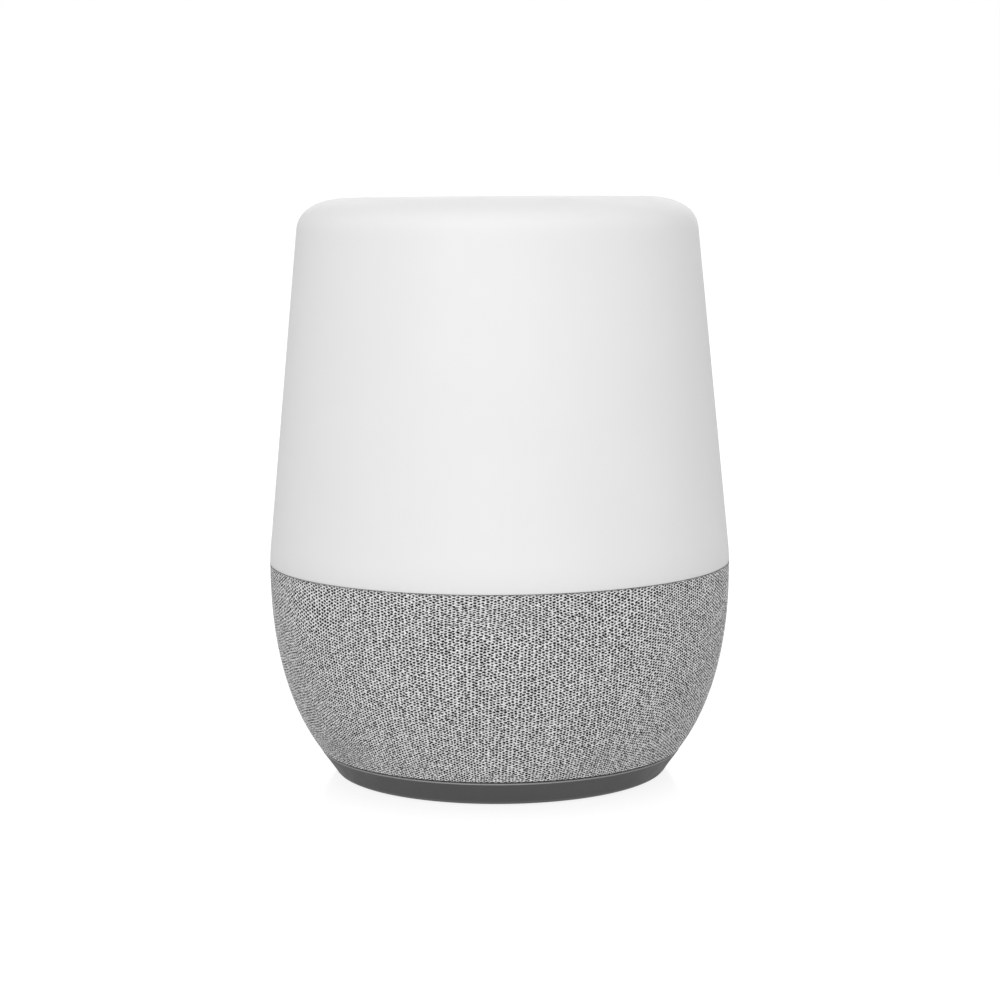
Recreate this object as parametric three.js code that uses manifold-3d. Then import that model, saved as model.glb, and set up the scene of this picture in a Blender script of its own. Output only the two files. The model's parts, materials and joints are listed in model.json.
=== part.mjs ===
// Table-top smart speaker with a lamp: a milky light shade on a fabric-covered speaker bowl with a dark
// foot ring. Inside are a sealed chamber with a down-firing driver and a passive radiator, the
// electronics deck and a light column. Millimetres, +Z up, z = 0 on the table, the front faces -Y.
import * as THREE from 'three';
import { mergeVertices } from 'three/addons/utils/BufferGeometryUtils.js';
import Module from 'manifold-3d';

const wasm = await Module();
wasm.setup();

// ---------------------------------------------------------------- driving dimensions
const GAP = 0.3;                 // clearance between neighbouring pieces
const SHELL_SIDES = 32;          // facets round the large shells
const SMALL_SIDES = 16;          // facets round the small round pieces
const WELD = 1e-4;

// Outer form: a shade cone on a bowl, widest where they meet.
const TOP_Z = 150;
const SEAM = { radius: 60, shadeZ: 55.6, fabricZ: 55.3 };
const SHADE_WALL = 2.2;
const SHADE_SLOPE = 0.0972;                         // radius lost per millimetre of height
const SHADE_CONE = { lowZ: 60.4, lowRadius: 59.68, highZ: 141.5 };
const SHADE_FOOT_ARC = 75;                          // radius that turns the cone towards upright
const SHADE_CORNER = { centre: 38, rise: 8.3, power: 2.4 };
const BOWL = new THREE.CubicBezierCurve(
  new THREE.Vector2(60, 53.6), new THREE.Vector2(60, 26.3),
  new THREE.Vector2(52.04, 10.05), new THREE.Vector2(43.24, 2),
);

// Layers under the bowl's surface, as depths measured square to it.
const FABRIC = { wall: 0.9, lowZ: 6.85 };
const GRILLE = { depth: FABRIC.wall + GAP, wall: 1.6, lowZ: 7.4, highZ: 54.05, flangeRadius: 41.6 };
const CHAMBER = { depth: 4.6, wall: 2, lowZ: 21.8, highZ: 45.1, mouth: 26.3, leg: 3.4 };
const FLANGE_WALL = 1.2;                            // thickness of the grille's inward flange
const SLOTS = { columns: 16, width: 7, rows: [[12.5, 31], [34, 52.5]] };

// Foot.
const RUBBER = { inner: 29.5, outer: 41.4, height: 1.4 };
const RING = { flangeInner: 27, flangeOuter: 42.1, flangeLow: 1.7, flangeHigh: 3.3, topZ: 6.55, wall: 1.9 };
const RING_HEEL = [[42.6, 0.3], [43.1, 0.45]];
const RING_SIDE = new THREE.CubicBezierCurve(
  new THREE.Vector2(43.6, 1), new THREE.Vector2(44.4, 2.3),
  new THREE.Vector2(45.9, 4.3), new THREE.Vector2(47.25, 6.15),
);
const RING_TOP = { outer: 46.85, chamfer: 0.15 };
const BASE = { floorLow: 3.6, floorHigh: 5.6, radius: 42.9, wallInner: 41.2, wallHigh: 8.4 };
const BALLAST = { inner: 26, outer: 40.9, low: 5.9, high: 8.1 };
const RECESS = { halfWidth: 6.5, front: 22, back: 38.7, ceiling: 10.5, wall: 1.5 };
const CABLE_NOTCH = { halfWidth: 4.5, ceiling: 4.8, reach: 52 };
const INLET = { z: 6.4, bore: 1.9, pin: 0.6, depth: 8.5, halfWidth: 3.3, front: 11, back: 21.7 };
const INLET_BOARD = { left: -16, right: 5, front: 9.5, back: 19.5, low: 9.95, high: 11.15 };
const RESET = {
  x: -11.5, y: 14, radius: 2.1, low: 4.2, high: 7.3, collar: 3, switchSize: 4.4, switchLow: 8.2,
};
const DEFLECTOR = { radius: 32.5, rimLow: 8.4, rimHigh: 9.6, rise: 5.5, wall: 1.6 };
const DEFLECTOR_LEAD_GAP = [[-36, -1, 5], [-26, 7, 11.6]];
const FOOT_SCREWS = {
  radius: 36.5, angles: [45, 135, 225, 315], head: 2.9, headHeight: 1.4, shank: 1.3, length: 11.5,
  headHole: 3.3, ballastHole: 1.9, baseHole: 1.7, legHole: 1.65, legHoleHigh: 17,
};

// Driver, facing down, from its flange up to its yoke.
const DRIVER = {
  flangeLow: 19.4, flangeHigh: 20.6, flange: 28.5, plateLow: 33.6, plateHigh: 34.8, neck: 16.2,
  coneEdge: 21.9, coneNeck: 7.6, coneNeckZ: 27.6,
  coilInner: 6.4, coilOuter: 7.2, coilLow: 26, coilHigh: 38.5,
  topPlateInner: 7.7, topPlateOuter: 15.8, topPlateLow: 35.1, topPlateHigh: 38.1,
  magnetInner: 9, magnet: 16.4, magnetLow: 38.4, magnetHigh: 41.9, yokeHigh: 44.2, pole: 5.9,
  spiderZ: 30.4, spiderWidth: 9, spiderWave: 0.5,
};
const DUST_CAP = { radius: 9.3, lowZ: 22.9, rise: 3, wall: 0.5 };
const GASKET = { inner: 26.4, low: 20.9, high: 21.5 };
const DRIVER_ROLL = { innerLip: 20.7, outerLip: 27.6, centre: 23.6, radius: 1.7, lipZ: 18.8, side: -1 };
const RADIATOR_ROLL = { innerLip: 17.2, outerLip: 26, centre: 21.3, radius: 1.9, lipZ: 49.7, side: 1 };
const ROLL_WALL = 0.6;
const LID = { low: 45.4, high: 47.4, mouth: 22.8, socketDepth: 2 };
const RADIATOR = { frameInner: 22.9, frame: 28, frameHigh: 49.1, plate: 19.2, weight: 10 };

// Electronics deck and lamp.
const DECK = { low: 53.2, high: 55, plate: 56.9, lip: 58.7, lipLow: 54.35, lipHigh: 55.3 };
const SPIGOT = { inner: 55.6, outer: 57.2, high: 60.1 };
const DECK_BOSS = { radius: 13, high: 66.7, spigot: 9, spigotHigh: 74, bore: 7 };
const DECK_LEGS = { radius: 47, angles: [45, 135, 225, 315], thickness: 3 };
const BOARD = {
  inner: 15, outer: 49, low: 58.7, high: 60.3,
  screwRadius: 38, screwAngles: [90, 210, 330], post: 3, hole: 1.6,
};
const BOARD_SCREW = { head: 2.8, headHeight: 1.5, shank: 1.25, length: 4 };
const BOARD_PARTS = {
  processor_shield: { x: 30, y: -2, width: 24, depth: 20, height: 3, material: 'steel' },
  wifi_module: { x: -32, y: -7, width: 18, depth: 13, height: 2.2, material: 'steel' },
  amplifier_chip: { x: -30, y: 14, width: 9, depth: 9, height: 1.6, material: 'chip' },
};
const CAPACITORS = { xs: [18, 28], y: 22, radius: 4, height: 5.7 };
const LOCK_TABS = { angles: [30, 150, 270], halfWidth: 6, height: 2.8 };
const LED_TRAY = { low: 67, wall: 1.4, flatRadius: 46, rimRadius: 54.6, rimZ: 70.6 };
const CORE = { apothem: 14, bore: 9.3, low: 68.7, high: 118 };
const LED_STRIP = { width: 9, thickness: 1, low: 70.5, high: 116, led: 5, ledHeight: 1.4, leds: 4 };
const TOUCH_POST = { low: 118.3, high: 145.6, foot: 9, head: 5, wall: 1.6, flange: 12, flangeHeight: 1.4 };
const TOUCH_SENSOR = { radius: 15, low: 145.9, high: 147.1 };
const MICS = {
  angles: [-60, -120], z: 50.4,
  board: { inner: 52.2, outer: 53, halfWidth: 6, halfHeight: 2.2 },
  can: { inner: 51.1, outer: 52.4, halfWidth: 1.9, halfHeight: 1.5 },
  boot: { bore: 0.8, radius: 2.1, inner: 53.3, outer: 56.3 },
};

// Leads and the rear button.
const LEAD_RADIUS = 1;
const LEAD_HOLE = 1.7;
const DRIVER_LEAD_XY = { x: 38, y: 7 };
const POWER_LEAD_XY = { x: -40, y: 0 };

// The rear button's depths are measured out from the fabric, along a line square to it at BUTTON.z.
const BUTTON = { z: 29, radius: 4.5, face: 0.75, collar: 5.4, collarWall: 1, back: -7.85, play: 0.4 };
const BEZEL = { radius: 5.9, flange: 7, face: 0.95, flangeBack: GAP, back: -6.55 };
const BUTTON_POCKET = { halfWidth: 8, halfHeight: 6.5, floor: -13.05, wall: 1.6 };
const MUTE_BOARD = { halfWidth: 7, halfHeight: 6, thickness: 1.2, switchHalf: 3 };

// ---------------------------------------------------------------- materials
const plastic = (color, roughness) => new THREE.MeshStandardMaterial({ color, roughness, metalness: 0 });
const metal = (color, roughness) => new THREE.MeshStandardMaterial({ color, roughness, metalness: 1 });
const MATERIAL = {
  shade: () => plastic(0xeeeeee, 0.45),
  fabric: () => plastic(0xb0b0b0, 0.95),
  darkPlastic: () => plastic(0x505152, 0.5),
  innerPlastic: () => plastic(0x2c2d2f, 0.6),
  whitePlastic: () => plastic(0xf2f2ee, 0.4),
  clearPlastic: () => plastic(0xe8ecee, 0.15),
  rubber: () => plastic(0x232323, 0.9),
  paper: () => plastic(0x1d1d1f, 0.9),
  board: () => plastic(0x1f5a3c, 0.55),
  chip: () => plastic(0x18181a, 0.5),
  copper: () => metal(0xb8764a, 0.4),
  steel: () => metal(0x9a9c9e, 0.35),
  magnet: () => plastic(0x3b3b3d, 0.7),
  aluminium: () => metal(0xc4c7ca, 0.35),
  cable: () => plastic(0x111111, 0.6),
};

// ---------------------------------------------------------------- solids
const point = (r, z) => new THREE.Vector2(r, z);
const radians = THREE.MathUtils.degToRad;
const polar = (radius, degrees) => {
  const angle = radians(degrees);
  return [radius * Math.cos(angle), radius * Math.sin(angle)];
};
const steps = (count) => Array.from({ length: count + 1 }, (_, i) => i / count);

/** Welds a closed geometry and hands it over as a solid that can be cut and joined. */
function solidOf(geometry) {
  geometry.deleteAttribute('normal');
  geometry.deleteAttribute('uv');
  const merged = mergeVertices(geometry, WELD);
  const index = merged.index.array;
  const triVerts = [];
  for (let i = 0; i < index.length; i += 3) {
    const [a, b, c] = index.slice(i, i + 3);
    const isFlat = a === b || b === c || c === a;
    if (!isFlat) triVerts.push(a, b, c);
  }
  const vertProperties = merged.attributes.position.array;
  const mesh = new wasm.Mesh({ numProp: 3, vertProperties, triVerts: new Uint32Array(triVerts) });
  return new wasm.Manifold(mesh);
}

/** Turns a solid back into the geometry of a mesh. */
function geometryOf(solid) {
  const { vertProperties, triVerts } = solid.getMesh();
  const geometry = new THREE.BufferGeometry();
  geometry.setAttribute('position', new THREE.BufferAttribute(vertProperties, 3));
  geometry.setIndex(new THREE.BufferAttribute(triVerts, 1));
  geometry.computeVertexNormals();
  return geometry;
}

const join = (first, ...others) => others.reduce((whole, other) => whole.add(other), first);
const cut = (first, ...others) => others.reduce((whole, other) => whole.subtract(other), first);

/** A closed outline of radius and height, turned about the Z axis. */
function turned(outline, sides = SMALL_SIDES) {
  const loop = THREE.ShapeUtils.isClockWise(outline) ? [...outline].reverse() : [...outline];
  loop.push(loop[0]);
  return solidOf(new THREE.LatheGeometry(loop, sides).rotateX(Math.PI / 2));
}

/** A flat ring, or a disc where inner is 0. */
function ring(inner, outer, low, high, sides = SMALL_SIDES) {
  return turned([point(inner, low), point(outer, low), point(outer, high), point(inner, high)], sides);
}

/** A round bar along Z. */
function rod(x, y, radius, low, high, sides = 8) {
  const bar = new THREE.CylinderGeometry(radius, radius, high - low, sides).rotateX(Math.PI / 2);
  return solidOf(bar.translate(x, y, (low + high) / 2));
}

/** A round bar along Y. */
function rodAlongY(x, z, radius, from, to, sides = SMALL_SIDES) {
  const bar = new THREE.CylinderGeometry(radius, radius, to - from, sides);
  return solidOf(bar.translate(x, (from + to) / 2, z));
}

/** Leans a solid to stand square on the rear of the fabric at the button's height. */
const onRear = (solid) => solidOf(
  geometryOf(solid).rotateX(-buttonLean()).translate(0, bowlRadius(BUTTON.z), BUTTON.z),
);

/** A box from its lowest to its highest corner, turned about Z by degrees. */
function block([x0, y0, z0], [x1, y1, z1], degrees = 0) {
  const box = new THREE.BoxGeometry(x1 - x0, y1 - y0, z1 - z0);
  box.translate((x0 + x1) / 2, (y0 + y1) / 2, (z0 + z1) / 2);
  return solidOf(box.rotateZ(radians(degrees)));
}

/** A round lead through points. */
function lead(points, stepCount = 12) {
  const section = new THREE.Shape();
  section.absarc(0, 0, LEAD_RADIUS, 0, 2 * Math.PI);
  const path = new THREE.CatmullRomCurve3(points.map(([x, y, z]) => new THREE.Vector3(x, y, z)));
  const options = { steps: stepCount, extrudePath: path, curveSegments: 4, bevelEnabled: false };
  return solidOf(new THREE.ExtrudeGeometry(section, options));
}

/** The outline moved sideways by distance, to the left of its direction of travel. */
function offset(outline, distance) {
  return outline.map((here, i) => {
    const before = outline[Math.max(i - 1, 0)];
    const after = outline[Math.min(i + 1, outline.length - 1)];
    const along = after.clone().sub(before).normalize();
    return point(Math.max(here.x - along.y * distance, 0), here.y + along.x * distance);
  });
}

/** A shell between two depths left of an outline. */
function shell(outline, near, far, sides = SHELL_SIDES) {
  return turned([...offset(outline, near), ...offset(outline, far).reverse()], sides);
}

/** The bowl's radius at height z. */
function bowlRadius(z) {
  if (z >= BOWL.v0.y) return BOWL.v0.x;
  let [high, low] = [0, 1];
  for (let i = 0; i < 30; i += 1) {
    const middle = (high + low) / 2;
    if (BOWL.getPoint(middle).y > z) high = middle;
    else low = middle;
  }
  return BOWL.getPoint((high + low) / 2).x;
}

/** How far the fabric's surface leans outwards at the rear button, as an angle. */
const buttonLean = () => Math.atan(bowlRadius(BUTTON.z + 0.5) - bowlRadius(BUTTON.z - 0.5));

/** The bowl's outline from one height to another, closer together where it curves in. */
function bowlOutline(low, high, count = 6) {
  return steps(count).map((t) => {
    const z = low + (high - low) * t ** 1.4;
    return point(bowlRadius(z), z);
  });
}

// ---------------------------------------------------------------- shade and lamp
/** The shade's outer line from its lower edge up to the axis. */
function shadeOutline() {
  const { lowZ, lowRadius, highZ } = SHADE_CONE;
  const coneAngle = Math.atan(SHADE_SLOPE);
  const footAngle = Math.asin(Math.sin(coneAngle) - (lowZ - SEAM.shadeZ) / SHADE_FOOT_ARC);
  const foot = steps(1).map((t) => {
    const angle = THREE.MathUtils.lerp(footAngle, coneAngle, t);
    const out = SHADE_FOOT_ARC * (Math.cos(angle) - Math.cos(coneAngle));
    return point(lowRadius + out, lowZ - SHADE_FOOT_ARC * (Math.sin(coneAngle) - Math.sin(angle)));
  });
  const highRadius = lowRadius - SHADE_SLOPE * (highZ - lowZ);
  const { centre, rise, power } = SHADE_CORNER;
  const corner = steps(6).map((t) => {
    const angle = t * Math.PI / 2;
    const up = rise * Math.sin(angle) ** (2 / power);
    const out = (highRadius - centre) * Math.cos(angle) ** (2 / power);
    return point(centre + out - SHADE_SLOPE * up, highZ + up);
  });
  return [...foot, ...corner, point(14, TOP_Z - 0.03), point(0, TOP_Z)];
}

const diffuserShade = () => shell(shadeOutline(), 0, SHADE_WALL);

function shadeLockRing() {
  const low = SPIGOT.high + GAP;
  const tabs = LOCK_TABS.angles.map((angle) => block(
    [SPIGOT.inner + 0.1, -LOCK_TABS.halfWidth + GAP, low - LOCK_TABS.height],
    [SPIGOT.outer - 0.7, LOCK_TABS.halfWidth - GAP, low + 1], angle,
  ));
  return join(ring(SPIGOT.inner - 0.4, SPIGOT.outer - 0.1, low, low + 3.6, SHELL_SIDES), ...tabs);
}

function ledTray() {
  const { low, wall, flatRadius, rimRadius, rimZ } = LED_TRAY;
  const inner = DECK_BOSS.spigot + GAP;
  return turned([
    point(inner, low), point(flatRadius, low), point(rimRadius, rimZ - wall), point(rimRadius, rimZ),
    point(flatRadius, low + wall), point(inner, low + wall),
  ], SHELL_SIDES);
}

/** A six-sided aluminium column that carries one light strip on each face. */
function lightCore() {
  const shape = new THREE.Shape(steps(5).map((t) => {
    const [x, y] = polar(CORE.apothem / Math.cos(Math.PI / 6), t * 300);
    return point(x, y);
  }));
  const bore = new THREE.Path();
  bore.absarc(0, 0, CORE.bore, 0, 2 * Math.PI, true);
  shape.holes.push(bore);
  const options = { depth: CORE.high - CORE.low, bevelEnabled: false, curveSegments: SMALL_SIDES };
  return solidOf(new THREE.ExtrudeGeometry(shape, options).translate(0, 0, CORE.low));
}

/** One strip with its row of light-emitting packages, standing off the column's face. */
function ledStrip() {
  const { width, thickness, low, high, led, ledHeight, leds } = LED_STRIP;
  const face = CORE.apothem + GAP;
  const pitch = (high - low) / leds;
  const packages = steps(leds - 1).map((t, i) => {
    const z = low + pitch * (i + 0.5);
    return block(
      [face + thickness / 2, -led / 2, z - led / 2], [face + thickness + ledHeight, led / 2, z + led / 2],
    );
  });
  return join(block([face, -width / 2, low], [face + thickness, width / 2, high]), ...packages);
}

function touchPost() {
  const { low, high, foot, head, wall, flange, flangeHeight } = TOUCH_POST;
  return turned([
    point(foot - wall, low), point(flange, low), point(flange, low + flangeHeight),
    point(foot, low + flangeHeight), point(head, high), point(head - wall, high),
  ]);
}

const touchSensor = () => ring(0, TOUCH_SENSOR.radius, TOUCH_SENSOR.low, TOUCH_SENSOR.high, 24);

// ---------------------------------------------------------------- electronics deck
function midDeck() {
  const body = turned([
    point(0, DECK.low), point(DECK.plate, DECK.low), point(DECK.plate, DECK.lipLow),
    point(DECK.lip, DECK.lipLow), point(DECK.lip, DECK.lipHigh), point(SPIGOT.outer, DECK.lipHigh),
    point(SPIGOT.outer, SPIGOT.high), point(SPIGOT.inner, SPIGOT.high), point(SPIGOT.inner, DECK.high),
    point(DECK_BOSS.radius, DECK.high), point(DECK_BOSS.radius, DECK_BOSS.high),
    point(DECK_BOSS.spigot, DECK_BOSS.high), point(DECK_BOSS.spigot, DECK_BOSS.spigotHigh),
    point(DECK_BOSS.bore, DECK_BOSS.spigotHigh), point(DECK_BOSS.bore, DECK.high), point(0, DECK.high),
  ], SHELL_SIDES);
  const legs = DECK_LEGS.angles.map((angle) => {
    const [x, y] = polar(DECK_LEGS.radius, angle);
    return rod(x, y, DECK_LEGS.thickness, LID.high + GAP, DECK.low + 0.5);
  });
  const posts = BOARD.screwAngles.map((angle) => {
    const [x, y] = polar(BOARD.screwRadius, angle);
    const post = rod(x, y, BOARD.post, DECK.high - 0.5, BOARD.low - GAP);
    return cut(post, rod(x, y, BOARD.hole, DECK.high + 0.4, BOARD.high));
  });
  const windows = LOCK_TABS.angles.map((angle) => block(
    [SPIGOT.inner - 1, -LOCK_TABS.halfWidth, SPIGOT.high - 3],
    [SPIGOT.outer + 1, LOCK_TABS.halfWidth, SPIGOT.high + 1], angle,
  ));
  return cut(
    join(body, ...legs, ...posts), ...windows,
    rod(DRIVER_LEAD_XY.x, DRIVER_LEAD_XY.y, LEAD_HOLE, DECK.low - 1, DECK.high + 1),
    rod(POWER_LEAD_XY.x, POWER_LEAD_XY.y, LEAD_HOLE, DECK.low - 1, DECK.high + 1),
  );
}

function mainBoard() {
  const holes = BOARD.screwAngles.map((angle) => {
    const [x, y] = polar(BOARD.screwRadius, angle);
    return rod(x, y, BOARD.hole, BOARD.low - 1, BOARD.high + 1);
  });
  return cut(ring(BOARD.inner, BOARD.outer, BOARD.low, BOARD.high, SHELL_SIDES), ...holes);
}

/** A part that sits on the main board, with its centre at x, y. */
function onBoard({ x, y, width, depth, height }) {
  const low = BOARD.high + GAP;
  return block([x - width / 2, y - depth / 2, low], [x + width / 2, y + depth / 2, low + height]);
}

function capacitor(x) {
  const low = BOARD.high + GAP;
  return rod(x, CAPACITORS.y, CAPACITORS.radius, low, low + CAPACITORS.height, 20);
}

/** A pan-head screw whose head's under-face is at z = 0, shank pointing down. */
function screw({ head, headHeight, shank, length }) {
  return turned([
    point(0, headHeight), point(head * 0.7, headHeight), point(head, headHeight * 0.5),
    point(head, 0), point(shank, 0), point(shank, -length), point(0, -length),
  ], 10);
}

/** A small board on edge behind the bowl's front, with its microphone on the inner side. */
function micBoard(angle) {
  const plates = [MICS.board, MICS.can].map(({ inner, outer, halfWidth, halfHeight }) => block(
    [inner, -halfWidth, MICS.z - halfHeight], [outer, halfWidth, MICS.z + halfHeight], angle,
  ));
  return join(...plates);
}

/** The soft tube that leads sound from the grille to a microphone. */
function micBoot(angle) {
  const { bore, radius, inner, outer } = MICS.boot;
  const tube = ring(bore, radius, inner, outer, 12);
  return solidOf(geometryOf(tube).rotateY(Math.PI / 2).translate(0, 0, MICS.z).rotateZ(radians(angle)));
}

// ---------------------------------------------------------------- acoustic chamber
function chamberShell() {
  const { depth, wall, lowZ, highZ, mouth, leg } = CHAMBER;
  const outline = bowlOutline(lowZ, highZ, 3);
  const outer = offset(outline, depth).map((p, i) => point(p.x, outline[i].y));
  const inner = offset(outline, depth + wall).map((p, i) => point(p.x, outline[i].y));
  inner[0] = point(inner[0].x, lowZ + wall);
  const body = turned(
    [point(mouth, lowZ), ...outer, ...inner.reverse(), point(mouth, lowZ + wall)], SHELL_SIDES,
  );
  const { legHole, legHoleHigh } = FOOT_SCREWS;
  const legs = FOOT_SCREWS.angles.map((angle) => {
    const [x, y] = polar(FOOT_SCREWS.radius, angle);
    const post = rod(x, y, leg, BALLAST.high + GAP, lowZ + 0.5);
    return cut(post, rod(x, y, legHole, BALLAST.high, legHoleHigh));
  });
  const conduit = rod(POWER_LEAD_XY.x, POWER_LEAD_XY.y, leg, lowZ + 0.5, highZ);
  const { halfWidth, halfHeight, floor, wall: skin } = BUTTON_POCKET;
  const pocketBox = block([-halfWidth - skin, floor - skin, -halfHeight - skin],
    [halfWidth + skin, -depth - wall / 2, halfHeight + skin]);
  return cut(
    join(body, ...legs, conduit, onRear(pocketBox)),
    rod(POWER_LEAD_XY.x, POWER_LEAD_XY.y, LEAD_HOLE, lowZ - 1, highZ + 1),
    onRear(block([-halfWidth, floor, -halfHeight], [halfWidth, 0, halfHeight])),
  );
}

function chamberLid() {
  const edge = bowlRadius(LID.low) - CHAMBER.depth;
  const socketOuter = bowlRadius(CHAMBER.highZ) - CHAMBER.depth - CHAMBER.wall - 0.6;
  const socketInner = socketOuter - CHAMBER.wall;
  const socketLow = LID.low - LID.socketDepth;
  const body = turned([
    point(LID.mouth, LID.low), point(socketInner, LID.low), point(socketInner, socketLow),
    point(socketOuter, socketLow), point(socketOuter, LID.low), point(edge, LID.low),
    point(edge, LID.high), point(LID.mouth, LID.high),
  ], SHELL_SIDES);
  return cut(
    body,
    block([POWER_LEAD_XY.x - 4, -4, LID.low - 3], [POWER_LEAD_XY.x + 4, 4, LID.low]),
    rod(POWER_LEAD_XY.x, POWER_LEAD_XY.y, LEAD_HOLE, LID.low - 1, LID.high + 1),
    rod(DRIVER_LEAD_XY.x, DRIVER_LEAD_XY.y, LEAD_HOLE, LID.low - 1, LID.high + 1),
  );
}

/** A thin half-round roll between two flat lips; side is -1 for a roll that hangs down. */
function halfRoll({ innerLip, outerLip, centre, radius, lipZ, side }) {
  const roll = steps(4).map((t) => {
    const angle = Math.PI * (1 - t);
    return point(centre + radius * Math.cos(angle), lipZ + side * radius * Math.sin(angle));
  });
  const line = [point(innerLip, lipZ), ...roll, point(outerLip, lipZ)];
  return turned([...offset(line, ROLL_WALL / 2), ...offset(line, -ROLL_WALL / 2).reverse()], 20);
}

function driverBasket() {
  const { flangeLow, flangeHigh, flange, plateLow, plateHigh, neck } = DRIVER;
  const frame = turned([
    point(24.4, flangeLow), point(flange, flangeLow), point(flange, flangeHigh), point(25.6, flangeHigh),
    point(neck, plateLow), point(neck, plateHigh), point(8, plateHigh), point(8, plateLow),
    point(15, plateLow), point(24.4, flangeHigh - 0.2),
  ], 24);
  const windows = [45, 135, 225, 315].map((angle) => block([14, -7, 22.4], [32, 7, 28], angle));
  return cut(frame, ...windows);
}

function driverCone() {
  const { coneEdge, coneNeck, coneNeckZ, flangeLow } = DRIVER;
  return turned([
    point(coneEdge, flangeLow), point(coneEdge, flangeLow + 0.6), point(coneEdge - 1.1, flangeLow + 0.6),
    point(coneNeck, coneNeckZ + 0.6), point(coneNeck, coneNeckZ), point(coneEdge - 1.3, flangeLow),
  ], 20);
}

function dustCap() {
  const { radius, lowZ, rise, wall } = DUST_CAP;
  const line = steps(3).map((t) => point(radius * t, lowZ + rise * t * t));
  return turned([...line, ...offset(line, wall).reverse()]);
}

function driverSpider() {
  const { coneNeck, spiderWidth, spiderZ, spiderWave } = DRIVER;
  const line = steps(8).map((t) => {
    const wave = spiderWave * Math.sin(t * 4 * Math.PI);
    return point(coneNeck + 0.1 + t * spiderWidth, spiderZ + wave);
  });
  return turned([...offset(line, 0.2), ...offset(line, -0.2).reverse()]);
}

function voiceCoil() {
  const { coilInner, coilOuter, coilLow, coilHigh } = DRIVER;
  return ring(coilInner, coilOuter, coilLow, coilHigh);
}

function driverTopPlate() {
  const { topPlateInner, topPlateOuter, topPlateLow, topPlateHigh } = DRIVER;
  return ring(topPlateInner, topPlateOuter, topPlateLow, topPlateHigh);
}

function driverMagnet() {
  const { magnetInner, magnet, magnetLow, magnetHigh } = DRIVER;
  return ring(magnetInner, magnet, magnetLow, magnetHigh);
}

function driverYoke() {
  const { pole, topPlateLow, magnet, magnetHigh, yokeHigh } = DRIVER;
  const plateLow = magnetHigh + GAP;
  return turned([
    point(0, topPlateLow - 0.9), point(pole - 0.5, topPlateLow - 0.9), point(pole, topPlateLow - 0.4),
    point(pole, plateLow), point(magnet, plateLow), point(magnet, yokeHigh), point(0, yokeHigh),
  ]);
}

function radiatorFrame() {
  const { frameInner, frame, frameHigh } = RADIATOR;
  return ring(frameInner, frame, LID.high + GAP, frameHigh, 20);
}

function radiatorPlate() {
  const { plate, weight, frameHigh } = RADIATOR;
  const low = LID.high + GAP;
  return turned([
    point(0, low - 0.8), point(weight, low - 0.8), point(weight, low), point(plate, low),
    point(plate, frameHigh), point(0, frameHigh),
  ], 20);
}

// ---------------------------------------------------------------- outer bowl
const buttonHole = () => onRear(rodAlongY(0, 0, BEZEL.radius + GAP, -5, 3));

function fabricSleeve() {
  const outline = [...bowlOutline(FABRIC.lowZ, BOWL.v0.y, 7), point(SEAM.radius, SEAM.fabricZ)];
  return cut(shell(outline, 0, FABRIC.wall), buttonHole());
}

/** The perforated shell under the fabric, with an inward flange that stands on the base. */
function grilleShell() {
  const { depth, wall, lowZ, highZ, flangeRadius } = GRILLE;
  const outline = [...bowlOutline(lowZ, BOWL.v0.y - 1, 4), point(SEAM.radius, highZ)];
  const flangeZ = BASE.wallHigh + GAP;
  const flangeOuter = bowlRadius(flangeZ) - depth - wall / 2;
  const flange = ring(flangeRadius, flangeOuter, flangeZ, flangeZ + FLANGE_WALL, SHELL_SIDES);
  const body = join(shell(outline, depth, depth + wall), flange);
  const facet = 360 / SHELL_SIDES;
  const slots = [];
  for (let column = 0; column < SLOTS.columns; column += 1) {
    const angle = facet / 2 + column * 360 / SLOTS.columns;
    const nearButton = Math.abs(angle - 90) < 14;
    for (const [low, high] of SLOTS.rows) {
      if (nearButton && low < BUTTON.z + 8 && high > BUTTON.z - 8) continue;
      slots.push(block([44, -SLOTS.width / 2, low], [64, SLOTS.width / 2, high], angle));
    }
  }
  return cut(body, buttonHole(), ...slots);
}

function muteBezel() {
  const { radius, flange, face, flangeBack, back } = BEZEL;
  return cut(
    join(rodAlongY(0, 0, flange, flangeBack, face), rodAlongY(0, 0, radius, back, flangeBack + 0.1)),
    rodAlongY(0, 0, BUTTON.radius + BUTTON.play, back - 1, face + 1),
  );
}

const muteButton = () => join(
  rodAlongY(0, 0, BUTTON.radius, BUTTON.back, BUTTON.face),
  rodAlongY(0, 0, BUTTON.collar, BUTTON.back, BUTTON.back + BUTTON.collarWall),
);

/** The button's board with its switch, standing at the back of the pocket. */
function muteSwitchBoard() {
  const { halfWidth, halfHeight, thickness, switchHalf } = MUTE_BOARD;
  const low = BUTTON_POCKET.floor + GAP;
  const board = block([-halfWidth, low, -halfHeight], [halfWidth, low + thickness, halfHeight]);
  const body = block([-switchHalf, low + 1, -switchHalf], [switchHalf, BUTTON.back - 1, switchHalf]);
  return join(board, body);
}

// ---------------------------------------------------------------- foot
/** The channel that a plug and its lead use, from the inlet out to the back edge. */
function cableChannel() {
  const { halfWidth, front, back, ceiling } = RECESS;
  const { halfWidth: notch, ceiling: notchCeiling, reach } = CABLE_NOTCH;
  return join(
    block([-halfWidth, front, -1], [halfWidth, back, ceiling]),
    block([-notch, back - 1, -1], [notch, reach, notchCeiling]),
  );
}

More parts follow.
